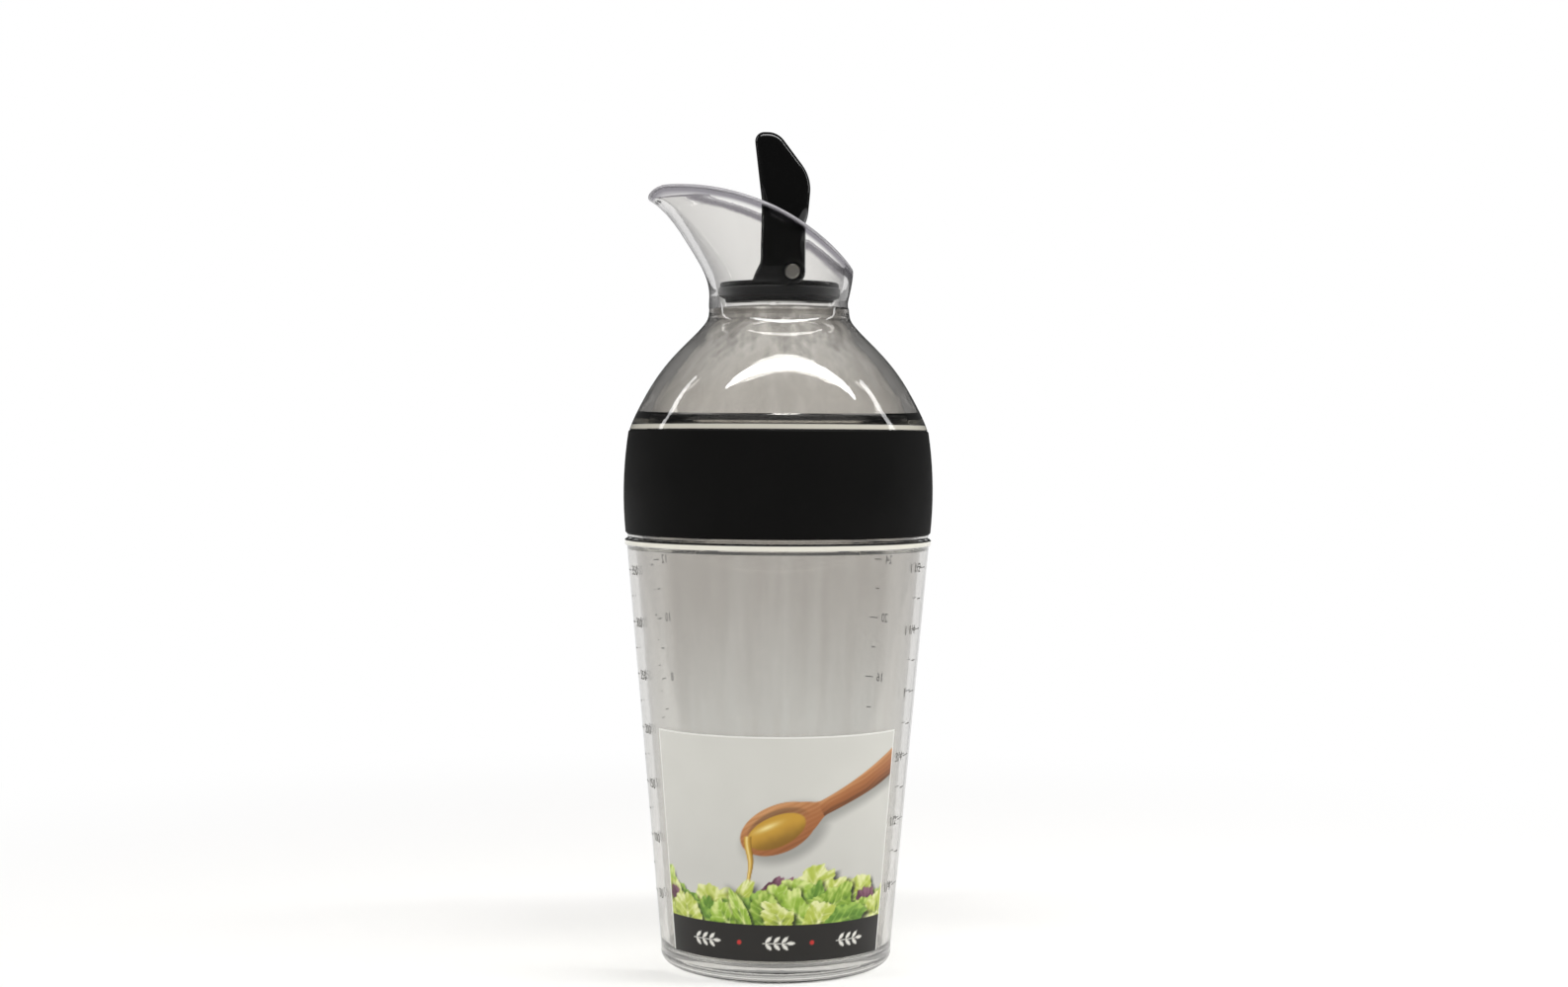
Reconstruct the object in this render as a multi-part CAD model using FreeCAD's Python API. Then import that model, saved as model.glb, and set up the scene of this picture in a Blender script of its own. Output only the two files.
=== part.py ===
import FreeCAD, Part
import math
import os

Vector = FreeCAD.Vector

# A salad dressing shaker: a tapered clear bottle, a screw lid with a pouring spout, and a lever
# that tips a round valve open. It stands on z = 0 with its axis on Z. The spout points to -X and
# the label faces -Y. All lengths are in millimetres and all angles in degrees.

# Bottle body
foot_radius = 29.2
foot_ring_width = 3.2
punt_depth = 1.2
heel_radius = 30.9
heel_height = 3.0
shoulder_radius = 40.6
shoulder_height = 111.4
bottle_wall = 2.2
floor_thickness = 2.6
floor_rounding = 2.5
heel_bulge_share = 0.72

# Neck ring and threaded mouth of the bottle
neck_ring_overhang = 0.6
neck_ring_height = 1.9
neck_ring_rounding = 0.4
shoulder_step = 4.0
inner_shoulder_height = 0.8
mouth_wall = 1.9
mouth_height = 30.8
mouth_rounding = 0.5

# Screw thread, shared by the bottle's mouth and the lid's skirt
thread_starts = 3
thread_lead = 12.0
thread_turns = 0.7
thread_depth = 0.9
thread_root_width = 1.8
thread_crest_width = 1.0
thread_embed = 0.3
thread_play = 0.4
flank_play = 0.3
thread_top_margin = 7.0

# Skirt and gasket pocket of the lid
skirt_clearance = 0.3
skirt_wall = 1.5
skirt_lip_height = 0.9
skirt_lip_overhang = 1.1
skirt_lip_rounding = 0.25
pocket_play = 0.3
pocket_depth = 6.0

# Gasket between the mouth's rim and the lid
gasket_thickness = 1.6
gasket_play = 0.1
gasket_rounding = 0.4

# Dome of the lid, from the grip band's top to the neck
dome_lip_overhang = 0.6
dome_lip_drop = 1.7
dome_rise = 32.2
dome_bore_margin = 0.4
dome_outer_shares = (
    (1.0, 0.0), (0.858, 0.208), (0.632, 0.457), (0.307, 0.705), (0.066, 0.87), (0.0, 1.0),
)
dome_outer_slope = 0.34
dome_inner_shares = (
    (1.0, 0.0), (0.868, 0.191), (0.649, 0.424), (0.373, 0.645), (0.135, 0.826), (0.031, 0.941), (0.0, 1.0),
)
dome_inner_slope = 0.5

# Grip band
band_bottom_thickness = 1.6
band_middle_thickness = 2.1
band_top_thickness = 0.9
band_rounding = 0.5

# Neck, and the spigot that joins the spout to it
neck_bore_radius = 16.6
neck_wall = 2.2
spigot_depth = 2.0
spigot_wall = 1.0
spigot_play = 0.05

# Pouring spout
spout_rise = 29.6
spout_overhang = 17.0
spout_flare = 1.7
spout_wall = 2.2
lip_radius = 6.0
beak_side_angle = 100.0
station_height_shares = (0.0, 0.12, 0.31, 0.45, 0.59, 0.73, 0.84, 0.93, 1.0, 1.15)
station_reach_shares = (0.0, 0.0, 0.065, 0.19, 0.34, 0.5, 0.65, 0.81, 1.0, 1.12)
station_flare_shares = (0.0, 0.0, 0.58, 0.68, 0.76, 0.84, 0.9, 0.95, 1.0, 1.1)
station_front_wall_shares = (1.0, 1.0, 1.03, 1.12, 1.18, 1.22, 1.35, 1.6, 1.9, 2.1)
rim_front_rise = 32.7
rim_middle_rise = 25.4
rim_back_rise = 9.8
nose_length = 6.2
nose_end_overhang = 0.6
nose_end_drop = 4.2
rim_rounding_share = 0.41

# Pivot of the lever, with its hub in upright slots of the spout's walls
pivot_offset = 3.4
pivot_rise = 9.1
hub_radius = 3.1
hub_play = 0.08
hub_end_play = 0.25
hub_end_rounding = 0.4
slot_skin = 1.1
pin_radius = 2.05
pin_end_rounding = 0.6

# Lever and valve plate
lever_rise = 37.9
lever_depth = 14.6
lever_width = 14.5
lever_front_shares = (-0.55, 0.5)
lever_tip_shares = (-0.705, 1.0)
lever_brow_shares = (-0.268, 1.0)
lever_back_shares = (0.35, 0.683)
lever_hip_shares = (0.29, 0.43)
lever_waist_shares = (0.1, 0.25)
lever_foot_share = -0.57
lever_heel_share = 0.09
lever_front_rounding = 25.0
lever_tip_rounding = 2.4
lever_brow_rounding = 5.5
lever_back_rounding = 11.0
lever_hip_rounding = 10.0
lever_waist_rounding = 8.0
lever_foot_rounding = 2.5
lever_edge_rounding = 2.2
foot_spread = 2.4
foot_rise = 5.4
plate_play = 0.7
plate_drop = 1.9
plate_rounding = 0.7
plate_skin = 0.2
stud_radius = 5.0
stud_head_radius = 7.6
stud_head_height = 1.5

# Valve seal under the plate
seal_play = 0.3
seal_height = 4.1
seal_waist_step = 1.7
seal_lip_edge = 2.3
seal_lip_slope = 0.7
seal_rounding = 0.5

# Label on the front of the bottle
label_bottom = 6.0
label_height = 58.4
label_half_angle = 57.0
label_thickness = 0.15
label_gap = 0.12

# Overrun of every cutting tool past the face it cuts, and how near counts as touching
overrun = 5.0
touching = 0.01
edge_test_shares = (0.1, 0.5, 0.9)

origin = Vector(0, 0, 0)
axis_z = Vector(0, 0, 1)

# Heights, from the table upwards
neck_ring_top = shoulder_height + neck_ring_height
mouth_top = neck_ring_top + mouth_height
skirt_bottom = neck_ring_top + skirt_clearance
band_bottom = skirt_bottom + skirt_lip_height
band_top = mouth_top - dome_lip_drop
gasket_ledge = mouth_top + gasket_thickness + gasket_play
neck_top = band_top + dome_rise
pivot_height = neck_top + pivot_rise
plate_top = pivot_height - plate_drop
plate_bottom = pivot_height - hub_radius - plate_skin
seal_bottom = plate_bottom - seal_height

# Radii, from the bottle's mouth outwards
finish_radius = shoulder_radius - shoulder_step
mouth_radius = finish_radius - mouth_wall
skirt_bore = finish_radius + thread_depth + thread_play
pocket_radius = finish_radius + pocket_play
skirt_radius = skirt_bore + skirt_wall
dome_radius = skirt_radius + dome_lip_overhang
neck_radius = neck_bore_radius + neck_wall
seal_radius = neck_bore_radius - seal_play
spigot_radius = neck_bore_radius + spigot_wall


def at(radius, height):
    return Vector(radius, 0, height)


def line(start, end):
    return Part.LineSegment(start, end).toShape()


def rounded_outline(corners):
    """A closed wire through corners given as (point, rounding)."""
    starts = []
    ends = []
    middles = []
    for index, (point, rounding) in enumerate(corners):
        before = corners[index - 1][0]
        after = corners[(index + 1) % len(corners)][0]
        towards_before = (before - point).normalize()
        towards_after = (after - point).normalize()
        if rounding == 0:
            starts.append(point)
            ends.append(point)
            middles.append(None)
            continue
        half_angle = towards_before.getAngle(towards_after) / 2
        reach = rounding / math.tan(half_angle)
        bisector = (towards_before + towards_after).normalize()
        starts.append(point + towards_before * reach)
        ends.append(point + towards_after * reach)
        middles.append(point + bisector * (rounding / math.sin(half_angle) - rounding))
    edges = []
    for index, middle in enumerate(middles):
        if middle is not None:
            edges.append(Part.Arc(starts[index], middle, ends[index]).toShape())
        edges.append(line(ends[index], starts[(index + 1) % len(corners)]))
    return Part.Wire(edges)


def revolved(wire, angle=360):
    return Part.Face(wire).revolve(origin, axis_z, angle)


def turned(corners):
    """A solid of revolution about Z from (radius, height, rounding) corners."""
    outline = [(at(radius, height), rounding) for radius, height, rounding in corners]
    return revolved(rounded_outline(outline))


def body_radius(height):
    slope = (shoulder_radius - heel_radius) / (shoulder_height - heel_height)
    return heel_radius + slope * (height - heel_height)


def thread_ridges(root_radius, crest_radius, bottom):
    """Helical ridges whose middle line starts at the given height, one for each thread start."""
    outward = 1 if crest_radius > root_radius else -1
    base_radius = root_radius - outward * thread_embed
    profile = Part.makePolygon([
        at(base_radius, bottom - thread_root_width / 2),
        at(root_radius, bottom - thread_root_width / 2),
        at(crest_radius, bottom - thread_crest_width / 2),
        at(crest_radius, bottom + thread_crest_width / 2),
        at(root_radius, bottom + thread_root_width / 2),
        at(base_radius, bottom + thread_root_width / 2),
        at(base_radius, bottom - thread_root_width / 2),
    ])
    path = Part.makeHelix(thread_lead, thread_lead * thread_turns, root_radius)
    path.translate(axis_z * bottom)
    sweep = Part.BRepOffsetAPI.MakePipeShell(path)
    sweep.setBiNormalMode(axis_z)
    sweep.add(profile)
    sweep.build()
    sweep.makeSolid()
    ridge = sweep.shape()
    ridges = []
    for start in range(thread_starts):
        copy = ridge.copy()
        copy.rotate(origin, axis_z, start * 360 / thread_starts)
        ridges.append(copy)
    return ridges


bottle_thread_bottom = mouth_top - thread_top_margin - thread_lead * thread_turns
lid_thread_bottom = bottle_thread_bottom - (thread_root_width + thread_crest_width) / 2 - flank_play


def make_bottle():
    foot_inner = foot_radius - foot_ring_width
    floor_height = punt_depth + floor_thickness
    inner_bottom = floor_height + floor_rounding
    inner_top = shoulder_height - inner_shoulder_height
    ring_radius = shoulder_radius + neck_ring_overhang
    heel_middle = at(
        foot_radius + (heel_radius - foot_radius) * heel_bulge_share,
        heel_height * (1 - heel_bulge_share),
    )
    heel_end = at(heel_radius, heel_height)
    floor_edge = body_radius(inner_bottom) - bottle_wall
    floor_centre = Vector(floor_edge - floor_rounding, 0, inner_bottom)
    floor_middle = floor_centre + Vector(1, 0, -1).normalize() * floor_rounding
    outside = [
        at(0, punt_depth),
        at(foot_inner - punt_depth, punt_depth),
        at(foot_inner, 0),
        at(foot_radius, 0),
    ]
    upper = [
        heel_end,
        at(shoulder_radius, shoulder_height),
        at(ring_radius - neck_ring_rounding, shoulder_height),
        at(ring_radius, shoulder_height + neck_ring_rounding),
        at(ring_radius, neck_ring_top - neck_ring_rounding),
        at(ring_radius - neck_ring_rounding, neck_ring_top),
        at(finish_radius, neck_ring_top),
        at(finish_radius, mouth_top - mouth_rounding),
        at(finish_radius - mouth_rounding, mouth_top),
        at(mouth_radius + mouth_rounding, mouth_top),
        at(mouth_radius, mouth_top - mouth_rounding),
        at(mouth_radius, shoulder_height),
        at(body_radius(inner_top) - bottle_wall, inner_top),
        at(floor_edge, inner_bottom),
    ]
    inside = [floor_centre - axis_z * floor_rounding, at(0, floor_height), at(0, punt_depth)]
    edges = [line(start, end) for start, end in zip(outside, outside[1:])]
    edges.append(Part.Arc(outside[-1], heel_middle, heel_end).toShape())
    edges += [line(start, end) for start, end in zip(upper, upper[1:])]
    edges.append(Part.Arc(upper[-1], floor_middle, inside[0]).toShape())
    edges += [line(start, end) for start, end in zip(inside, inside[1:])]
    body = revolved(Part.Wire(edges))
    ridges = thread_ridges(finish_radius, finish_radius + thread_depth, bottle_thread_bottom)
    return body.fuse(ridges).removeSplitter()


def make_front_label():
    top = label_bottom + label_height
    corners = [
        at(body_radius(label_bottom) + label_gap, label_bottom),
        at(body_radius(label_bottom) + label_gap + label_thickness, label_bottom),
        at(body_radius(top) + label_gap + label_thickness, top),
        at(body_radius(top) + label_gap, top),
    ]
    strip = revolved(Part.makePolygon(corners + corners[:1]), 2 * label_half_angle)
    strip.rotate(origin, axis_z, -90 - label_half_angle)
    return strip


def make_lid_gasket():
    inner = mouth_radius
    outer = finish_radius
    bottom = mouth_top
    top = mouth_top + gasket_thickness
    return turned([
        (inner, bottom, gasket_rounding),
        (outer, bottom, gasket_rounding),
        (outer, top, gasket_rounding),
        (inner, top, gasket_rounding),
    ])


def dome_curve(base, top, shares, start_slope):
    """A bell-shaped curve from the base up to the neck, upright where it meets the neck."""
    points = []
    for radius_share, height_share in shares:
        radius = top.x + (base.x - top.x) * radius_share
        points.append(at(radius, base.z + (top.z - base.z) * height_share))
    curve = Part.BSplineCurve()
    start_direction = Vector(-start_slope, 0, 1).normalize()
    curve.interpolate(Points=points, InitialTangent=start_direction, FinalTangent=axis_z)
    return curve.toShape()


def make_lid_dome():
    lip_radius_outer = skirt_radius + skirt_lip_overhang
    bore_top = gasket_ledge - pocket_depth
    pocket_bottom = bore_top + (skirt_bore - pocket_radius)
    spigot_floor = neck_top - spigot_depth
    bore_foot = at(neck_bore_radius, spigot_floor - dome_bore_margin)
    ledge_edge = at(mouth_radius, gasket_ledge)
    dome_foot = at(dome_radius, band_top)
    dome_head = at(neck_radius, neck_top)
    outer_curve = dome_curve(dome_foot, dome_head, dome_outer_shares, dome_outer_slope)
    inner_curve = dome_curve(ledge_edge, bore_foot, dome_inner_shares, dome_inner_slope)
    below = [
        at(skirt_bore, skirt_bottom),
        at(lip_radius_outer - skirt_lip_rounding, skirt_bottom),
        at(lip_radius_outer, skirt_bottom + skirt_lip_rounding),
        at(lip_radius_outer, band_bottom),
        at(skirt_radius, band_bottom),
        at(skirt_radius, band_top),
        dome_foot,
    ]
    above = [
        dome_head,
        at(spigot_radius + spigot_play, neck_top),
        at(spigot_radius + spigot_play, spigot_floor),
        at(neck_bore_radius, spigot_floor),
        bore_foot,
    ]
    pocket = [
        ledge_edge,
        at(pocket_radius, gasket_ledge),
        at(pocket_radius, pocket_bottom),
        at(skirt_bore, bore_top),
        at(skirt_bore, skirt_bottom),
    ]
    edges = [line(start, end) for start, end in zip(below, below[1:])]
    edges.append(outer_curve)
    edges += [line(start, end) for start, end in zip(above, above[1:])]
    edges.append(inner_curve)
    edges += [line(start, end) for start, end in zip(pocket, pocket[1:])]
    shell = revolved(Part.Wire(edges))
    ridges = thread_ridges(skirt_bore, skirt_bore - thread_depth, lid_thread_bottom)
    return shell.fuse(ridges).removeSplitter()


def make_grip_band():
    middle_height = (band_bottom + band_top) / 2
    lower = at(skirt_radius + band_bottom_thickness, band_bottom + band_rounding)
    middle = at(skirt_radius + band_middle_thickness, middle_height)
    upper = at(skirt_radius + band_top_thickness, band_top - band_rounding)
    points = [
        upper,
        at(skirt_radius + band_top_thickness - band_rounding, band_top),
        at(skirt_radius, band_top),
        at(skirt_radius, band_bottom),
        at(skirt_radius + band_bottom_thickness - band_rounding, band_bottom),
        lower,
    ]
    edges = [Part.Arc(lower, middle, upper).toShape()]
    edges += [line(start, end) for start, end in zip(points, points[1:])]
    return revolved(Part.Wire(edges))


def beak_section(height, radius, reach):
    """A drop-shaped outline: round at the back, with a rounded beak that reaches to -X."""
    tip_reach = neck_radius + spout_overhang
    rim_radius = neck_radius + spout_flare
    narrowing = (rim_radius - lip_radius) / (tip_reach - lip_radius)
    side = math.radians(beak_side_angle)
    bow = (1 - narrowing ** 2) / (2 * (narrowing + math.cos(side)))
    tip = math.atan2(bow * math.sin(side), bow * math.cos(side) - 1)
    shift = (reach - radius) / (1 - narrowing)
    side_radius = radius + bow * shift
    tip_radius = radius - narrowing * shift
    side_centre = Vector(math.cos(side), math.sin(side), 0) * (-bow * shift)
    tip_centre = Vector(-shift, 0, 0)

    def arc(centre, arc_radius, start, end, mirror):
        points = []
        for angle in (start, (start + end) / 2, end):
            point = centre + Vector(math.cos(angle), math.sin(angle), 0) * arc_radius
            points.append(Vector(point.x, mirror * point.y, height))
        if mirror < 0:
            points.reverse()
        return Part.Arc(*points).toShape()

    arcs = [
        (origin, radius, 0, side),
        (side_centre, side_radius, side, tip),
        (tip_centre, tip_radius, tip, math.pi),
    ]
    edges = [arc(*piece, 1) for piece in arcs]
    edges += [arc(*piece, -1) for piece in reversed(arcs)]
    return Part.Wire(edges)


def spout_loft(wall, bottom_extra):
    """The spout's filled form, drawn in by a wall and carried down past the neck's top."""
    sections = []
    if bottom_extra > 0:
        sections.append(beak_section(neck_top - bottom_extra, neck_radius - wall, neck_radius - wall))
    shapes = zip(station_reach_shares, station_flare_shares, station_front_wall_shares)
    stations = zip(station_height_shares, shapes)
    for height_share, (reach_share, flare_share, front_wall_share) in stations:
        radius = neck_radius + spout_flare * flare_share
        reach = max(neck_radius + spout_overhang * reach_share, radius) - wall * front_wall_share
        height = neck_top + spout_rise * height_share
        sections.append(beak_section(height, radius - wall, max(reach, radius - wall)))
    return Part.makeLoft(sections, True, False)


def rim_tool():
    """Everything above the spout's slanted, gently arched rim and its rounded nose."""
    front = Vector(-(neck_radius + spout_overhang - nose_length), 0, neck_top + rim_front_rise)
    middle = Vector(0, 0, neck_top + rim_middle_rise)
    back = Vector(neck_radius + spout_flare, 0, neck_top + rim_back_rise)
    rim_arc = Part.Arc(front, middle, back).toShape()
    nose_end = front + Vector(-(nose_length + nose_end_overhang), 0, -nose_end_drop)
    inward = (rim_arc.Curve.Center - front).normalize()
    chord = nose_end - front
    nose_centre = front + inward * (chord.dot(chord) / (2 * inward.dot(chord)))
    bulge = (front + chord / 2 - nose_centre).normalize()
    nose_middle = nose_centre + bulge * (front - nose_centre).Length
    ceiling = neck_top + 2 * spout_rise
    left = nose_end.x - 2 * spout_overhang
    right = back.x + 2 * spout_overhang
    corners = [
        back,
        Vector(right, 0, back.z),
        Vector(right, 0, ceiling),
        Vector(left, 0, ceiling),
        Vector(left, 0, nose_end.z),
        nose_end,
    ]
    edges = [line(start, end) for start, end in zip(corners, corners[1:])]
    edges.append(Part.Arc(nose_end, nose_middle, front).toShape())
    edges.append(rim_arc)
    half_width = neck_radius + spout_overhang
    face = Part.Face(Part.Wire(edges))
    face.translate(Vector(0, -half_width, 0))
    return face.extrude(Vector(0, 2 * half_width, 0))


def flare_at(height):
    """The spout's outer radius at a height between two of its stations."""
    share = (height - neck_top) / spout_rise
    stations = list(zip(station_height_shares, station_flare_shares))
    for (low, low_flare), (high, high_flare) in zip(stations, stations[1:]):
        if low <= share <= high:
            return neck_radius + spout_flare * (
                low_flare + (high_flare - low_flare) * (share - low) / (high - low)
            )
    return neck_radius


slot_end = math.sqrt(flare_at(pivot_height) ** 2 - pivot_offset ** 2) - slot_skin
hub_half_length = slot_end - hub_end_play


def across(radius, half_length):
    """A cylinder along Y, centred on the lever's pivot."""
    start = Vector(pivot_offset, -half_length, pivot_height)
    return Part.makeCylinder(radius, 2 * half_length, start, Vector(0, 1, 0))


def rounded_bar(radius, half_length, end_rounding):
    """A cylinder along Y, centred on the lever's pivot, with the edges of its ends rounded."""
    bar = across(radius, half_length)
    end_edges = [edge for edge in bar.Edges if edge.BoundBox.YLength < touching]
    return bar.makeFillet(end_rounding, end_edges)


def hub_slots():
    """Upright slots, open at the rim, that the hub's ends drop into from above."""
    radius = hub_radius + hub_play
    corner = Vector(pivot_offset - radius, -slot_end, pivot_height)
    channel = Part.makeBox(2 * radius, 2 * slot_end, spout_rise, corner)
    return across(radius, slot_end).fuse(channel)


def lies_on(edge, solid):
    """Whether an edge runs along the surface of a solid, tested at three places."""
    first, last = edge.ParameterRange
    for share in edge_test_shares:
        point = Part.Vertex(edge.valueAt(first + (last - first) * share))
        if solid.Shells[0].distToShape(point)[0] > touching:
            return False
    return True


def make_pour_spout():
    cutter = rim_tool()
    cup = spout_loft(0, 0).cut(spout_loft(spout_wall, overrun)).cut(cutter)
    along_rim = [edge for edge in cup.Edges if edge.BoundBox.XLength > touching]
    rim_edges = [edge for edge in along_rim if lies_on(edge, cutter)]
    cup = cup.makeFillet(spout_wall * rim_rounding_share, rim_edges)
    spigot = turned([
        (neck_bore_radius, neck_top - spigot_depth, 0),
        (spigot_radius, neck_top - spigot_depth, 0),
        (spigot_radius, neck_top, 0),
        (neck_bore_radius, neck_top, 0),
    ])
    return cup.fuse(spigot).cut(hub_slots()).removeSplitter()


def make_pour_lever():
    foot_left = pivot_offset + lever_depth * lever_foot_share
    corners = [(Vector(foot_left - foot_spread, 0, plate_bottom), 0)]
    corners.append((Vector(foot_left - foot_spread, 0, plate_top), 0))
    corners.append((Vector(foot_left, 0, plate_top + foot_rise), lever_foot_rounding))
    outline_shares = [
        (lever_front_shares, lever_front_rounding),
        (lever_tip_shares, lever_tip_rounding),
        (lever_brow_shares, lever_brow_rounding),
        (lever_back_shares, lever_back_rounding),
        (lever_hip_shares, lever_hip_rounding),
        (lever_waist_shares, lever_waist_rounding),
    ]
    for (depth_share, rise_share), rounding in outline_shares:
        place = at(pivot_offset + lever_depth * depth_share, pivot_height + lever_rise * rise_share)
        corners.append((place, rounding))
    corners.append((Vector(pivot_offset + lever_depth * lever_heel_share, 0, plate_bottom), 0))
    outline = Part.Face(rounded_outline(corners))
    outline.translate(Vector(0, -lever_width / 2, 0))
    stem = outline.extrude(Vector(0, lever_width, 0))
    side_edges = []
    for edge in stem.Edges:
        on_side = all(abs(abs(vertex.Y) - lever_width / 2) < touching for vertex in edge.Vertexes)
        if on_side and edge.BoundBox.YLength < touching and edge.BoundBox.ZMax > plate_bottom + touching:
            side_edges.append(edge)
    stem = stem.makeFillet(lever_edge_rounding, side_edges)
    plate_radius = neck_bore_radius - plate_play
    plate = turned([
        (0, plate_bottom, 0),
        (plate_radius, plate_bottom, 0),
        (plate_radius, plate_top, plate_rounding),
        (0, plate_top, 0),
    ])
    stud = Part.makeCylinder(stud_radius, plate_bottom - seal_bottom, Vector(0, 0, seal_bottom))
    head = Part.makeCylinder(stud_head_radius, stud_head_height, Vector(0, 0, seal_bottom))
    hub = rounded_bar(hub_radius, hub_half_length, hub_end_rounding)
    lever = stem.fuse([plate, stud, head, hub])
    return lever.cut(across(pin_radius, hub_half_length)).removeSplitter()


def make_pivot_pin():
    return rounded_bar(pin_radius, hub_half_length, pin_end_rounding)


def make_valve_seal():
    waist = seal_radius - seal_waist_step
    lip_bottom = plate_bottom - seal_lip_edge
    head_top = seal_bottom + stud_head_height
    return turned([
        (stud_radius, plate_bottom, 0),
        (seal_radius, plate_bottom, seal_rounding),
        (seal_radius, lip_bottom, 0),
        (waist, lip_bottom - seal_lip_slope, 0),
        (waist, seal_bottom, seal_rounding),
        (stud_head_radius, seal_bottom, 0),
        (stud_head_radius, head_top, 0),
        (stud_radius, head_top, 0),
    ])


nodes = {
    "bottle": make_bottle(),
    "front_label": make_front_label(),
    "lid_gasket": make_lid_gasket(),
    "lid_dome": make_lid_dome(),
    "grip_band": make_grip_band(),
    "pour_spout": make_pour_spout(),
    "pour_lever": make_pour_lever(),
    "pivot_pin": make_pivot_pin(),
    "valve_seal": make_valve_seal(),
}

os.makedirs("parts", exist_ok=True)
for name, shape in nodes.items():
    print(name, len(shape.Solids), shape.isValid(), round(shape.Volume, 1))
    shape.exportStep("parts/" + name + ".step")
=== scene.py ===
import bpy
import math
import numpy as np
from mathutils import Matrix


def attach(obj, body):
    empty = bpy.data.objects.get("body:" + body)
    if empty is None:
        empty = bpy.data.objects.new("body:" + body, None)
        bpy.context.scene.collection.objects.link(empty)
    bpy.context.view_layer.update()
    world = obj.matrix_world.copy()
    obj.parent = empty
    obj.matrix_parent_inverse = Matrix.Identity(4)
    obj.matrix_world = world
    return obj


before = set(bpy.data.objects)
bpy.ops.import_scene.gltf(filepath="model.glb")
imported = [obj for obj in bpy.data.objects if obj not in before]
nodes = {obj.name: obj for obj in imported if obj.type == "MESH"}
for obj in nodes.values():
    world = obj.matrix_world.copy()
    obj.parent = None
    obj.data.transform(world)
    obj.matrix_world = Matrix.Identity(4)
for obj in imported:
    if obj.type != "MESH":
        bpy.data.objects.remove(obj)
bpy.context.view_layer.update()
scene = bpy.context.scene
mm = 0.001
noiseSpan = {"From Min": 0.25, "From Max": 0.75}  # where most of a noise's values lie
print("frame loaded:", len(nodes), "nodes")


# small helpers

def toLinear(tone):  # sRGB shares to linear ones
    return np.where(tone <= 0.04045, tone / 12.92, ((tone + 0.055) / 1.055) ** 2.4)


def inkTone(code):  # sRGB hex as shares
    return np.array([int(code[i:i + 2], 16) / 255 for i in (1, 3, 5)])


def inkColour(code):  # sRGB hex as linear RGBA
    return (*toLinear(inkTone(code)).tolist(), 1.0)


def addNode(tree, kind, settings=None, inputs=None):  # inputs: a value to set, or a socket to link
    # a Mix node takes colours at 6 and 7 and gives 2, and takes plain values at 2 and 3 and gives 0
    node = tree.nodes.new(kind)
    for key, value in (settings or {}).items():
        setattr(node, key, value)
    for key, value in (inputs or {}).items():
        if isinstance(value, bpy.types.NodeSocket):
            tree.links.new(value, node.inputs[key])
        else:
            node.inputs[key].default_value = value
    return node


def startMaterial(name):  # an empty node tree with its output and object coordinates
    material = bpy.data.materials.new(name)
    material.use_nodes = True
    tree = material.node_tree
    tree.nodes.clear()
    output = addNode(tree, "ShaderNodeOutputMaterial")
    place = addNode(tree, "ShaderNodeTexCoord").outputs["Object"]
    return material, tree, output, place


# clear plastic

clearSpec = {
    "ior": 1.57, "shadowTint": "#fafaf9",
    "flowAround": 5.0, "flowUp": 80.0, "flowDepth": 0.016,  # mm
    "streak": 0.45,  # share of the tint's change with height that the flow shifts, painting streaks of light and shade
    "hazeSize": 14.0, "hazeLow": 0.012, "hazeHigh": 0.035,  # mm, and two roughnesses
    "edgeSoft": 0.15, "lipSoft": 0.4,  # mm
}
# each clear piece's inks: "tints" a grey partly painted as shade, "side" a painted reflection, "rim" painted
# edge shade partly from the longer path, the lip inks a painted dark band and painted highlight, and "ring" a
# frosted cut edge painted with glow
clearPieces = {  # lengths in mm
    "bottle": {
        "tints": ((62.0, "#dddcd8"), (100.0, "#cdcac5")),  # height and tint; the grey is partly painted shade and deepens up the body
        "side": "#e8e6e2", "sideFacing": (0.3, 0.42),  # painted reflection: paler where the round side turns away
        # painted shade at the edges, partly the longer path through the grey
        "rim": "#7c7a77", "rimShadePower": 3.5,
        "ring": (111.7, 112.9, 40.8), "ringFrostGlowInk": "#fbf8ea",  # low, high and least radius of a cut edge, frosted and with painted glow
        "edgeClear": 0.25, "mirror": "#ffffff",
    },
    "lid": {
        # painted shade: the tint darkens at the neck
        "tints": ((152.0, "#d7d4cf"), (166.0, "#e6e4e0"), (173.5, "#b6b3af")),
        "rim": "#7f7d7a", "rimShadePower": 2.5,
        "ring": (142.5, 143.7, 38.6), "ringFrostGlowInk": "#dedacc",
        "edgeClear": 0.25, "mirror": "#ffffff",
    },
    "spout": {
        "tints": ((178.0, "#eeedeb"), (200.0, "#f1f0ee")),
        "rim": "#5c5a5f", "rimShadePower": 1.6,
        "lipArcs": ((-30.99, 138.01, 69.31), (-29.75, 199.93, 7.37)),  # x, z and radius: the rim, its nose
        "noseStart": -29.7,
        # painted shade: a darker band along the rim
        "lipWidth": 2.2, "lipShadeInk": "#928f95",
        "lipEdge": 0.9, "lipHighlightInk": "#bebcc0",  # the rounded edge on it, with a painted highlight
        "edgeClear": 0.45,
        "mirror": "#606060",  # weaker straight-on reflections, so that the lever stays black behind it
    },
}


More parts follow.
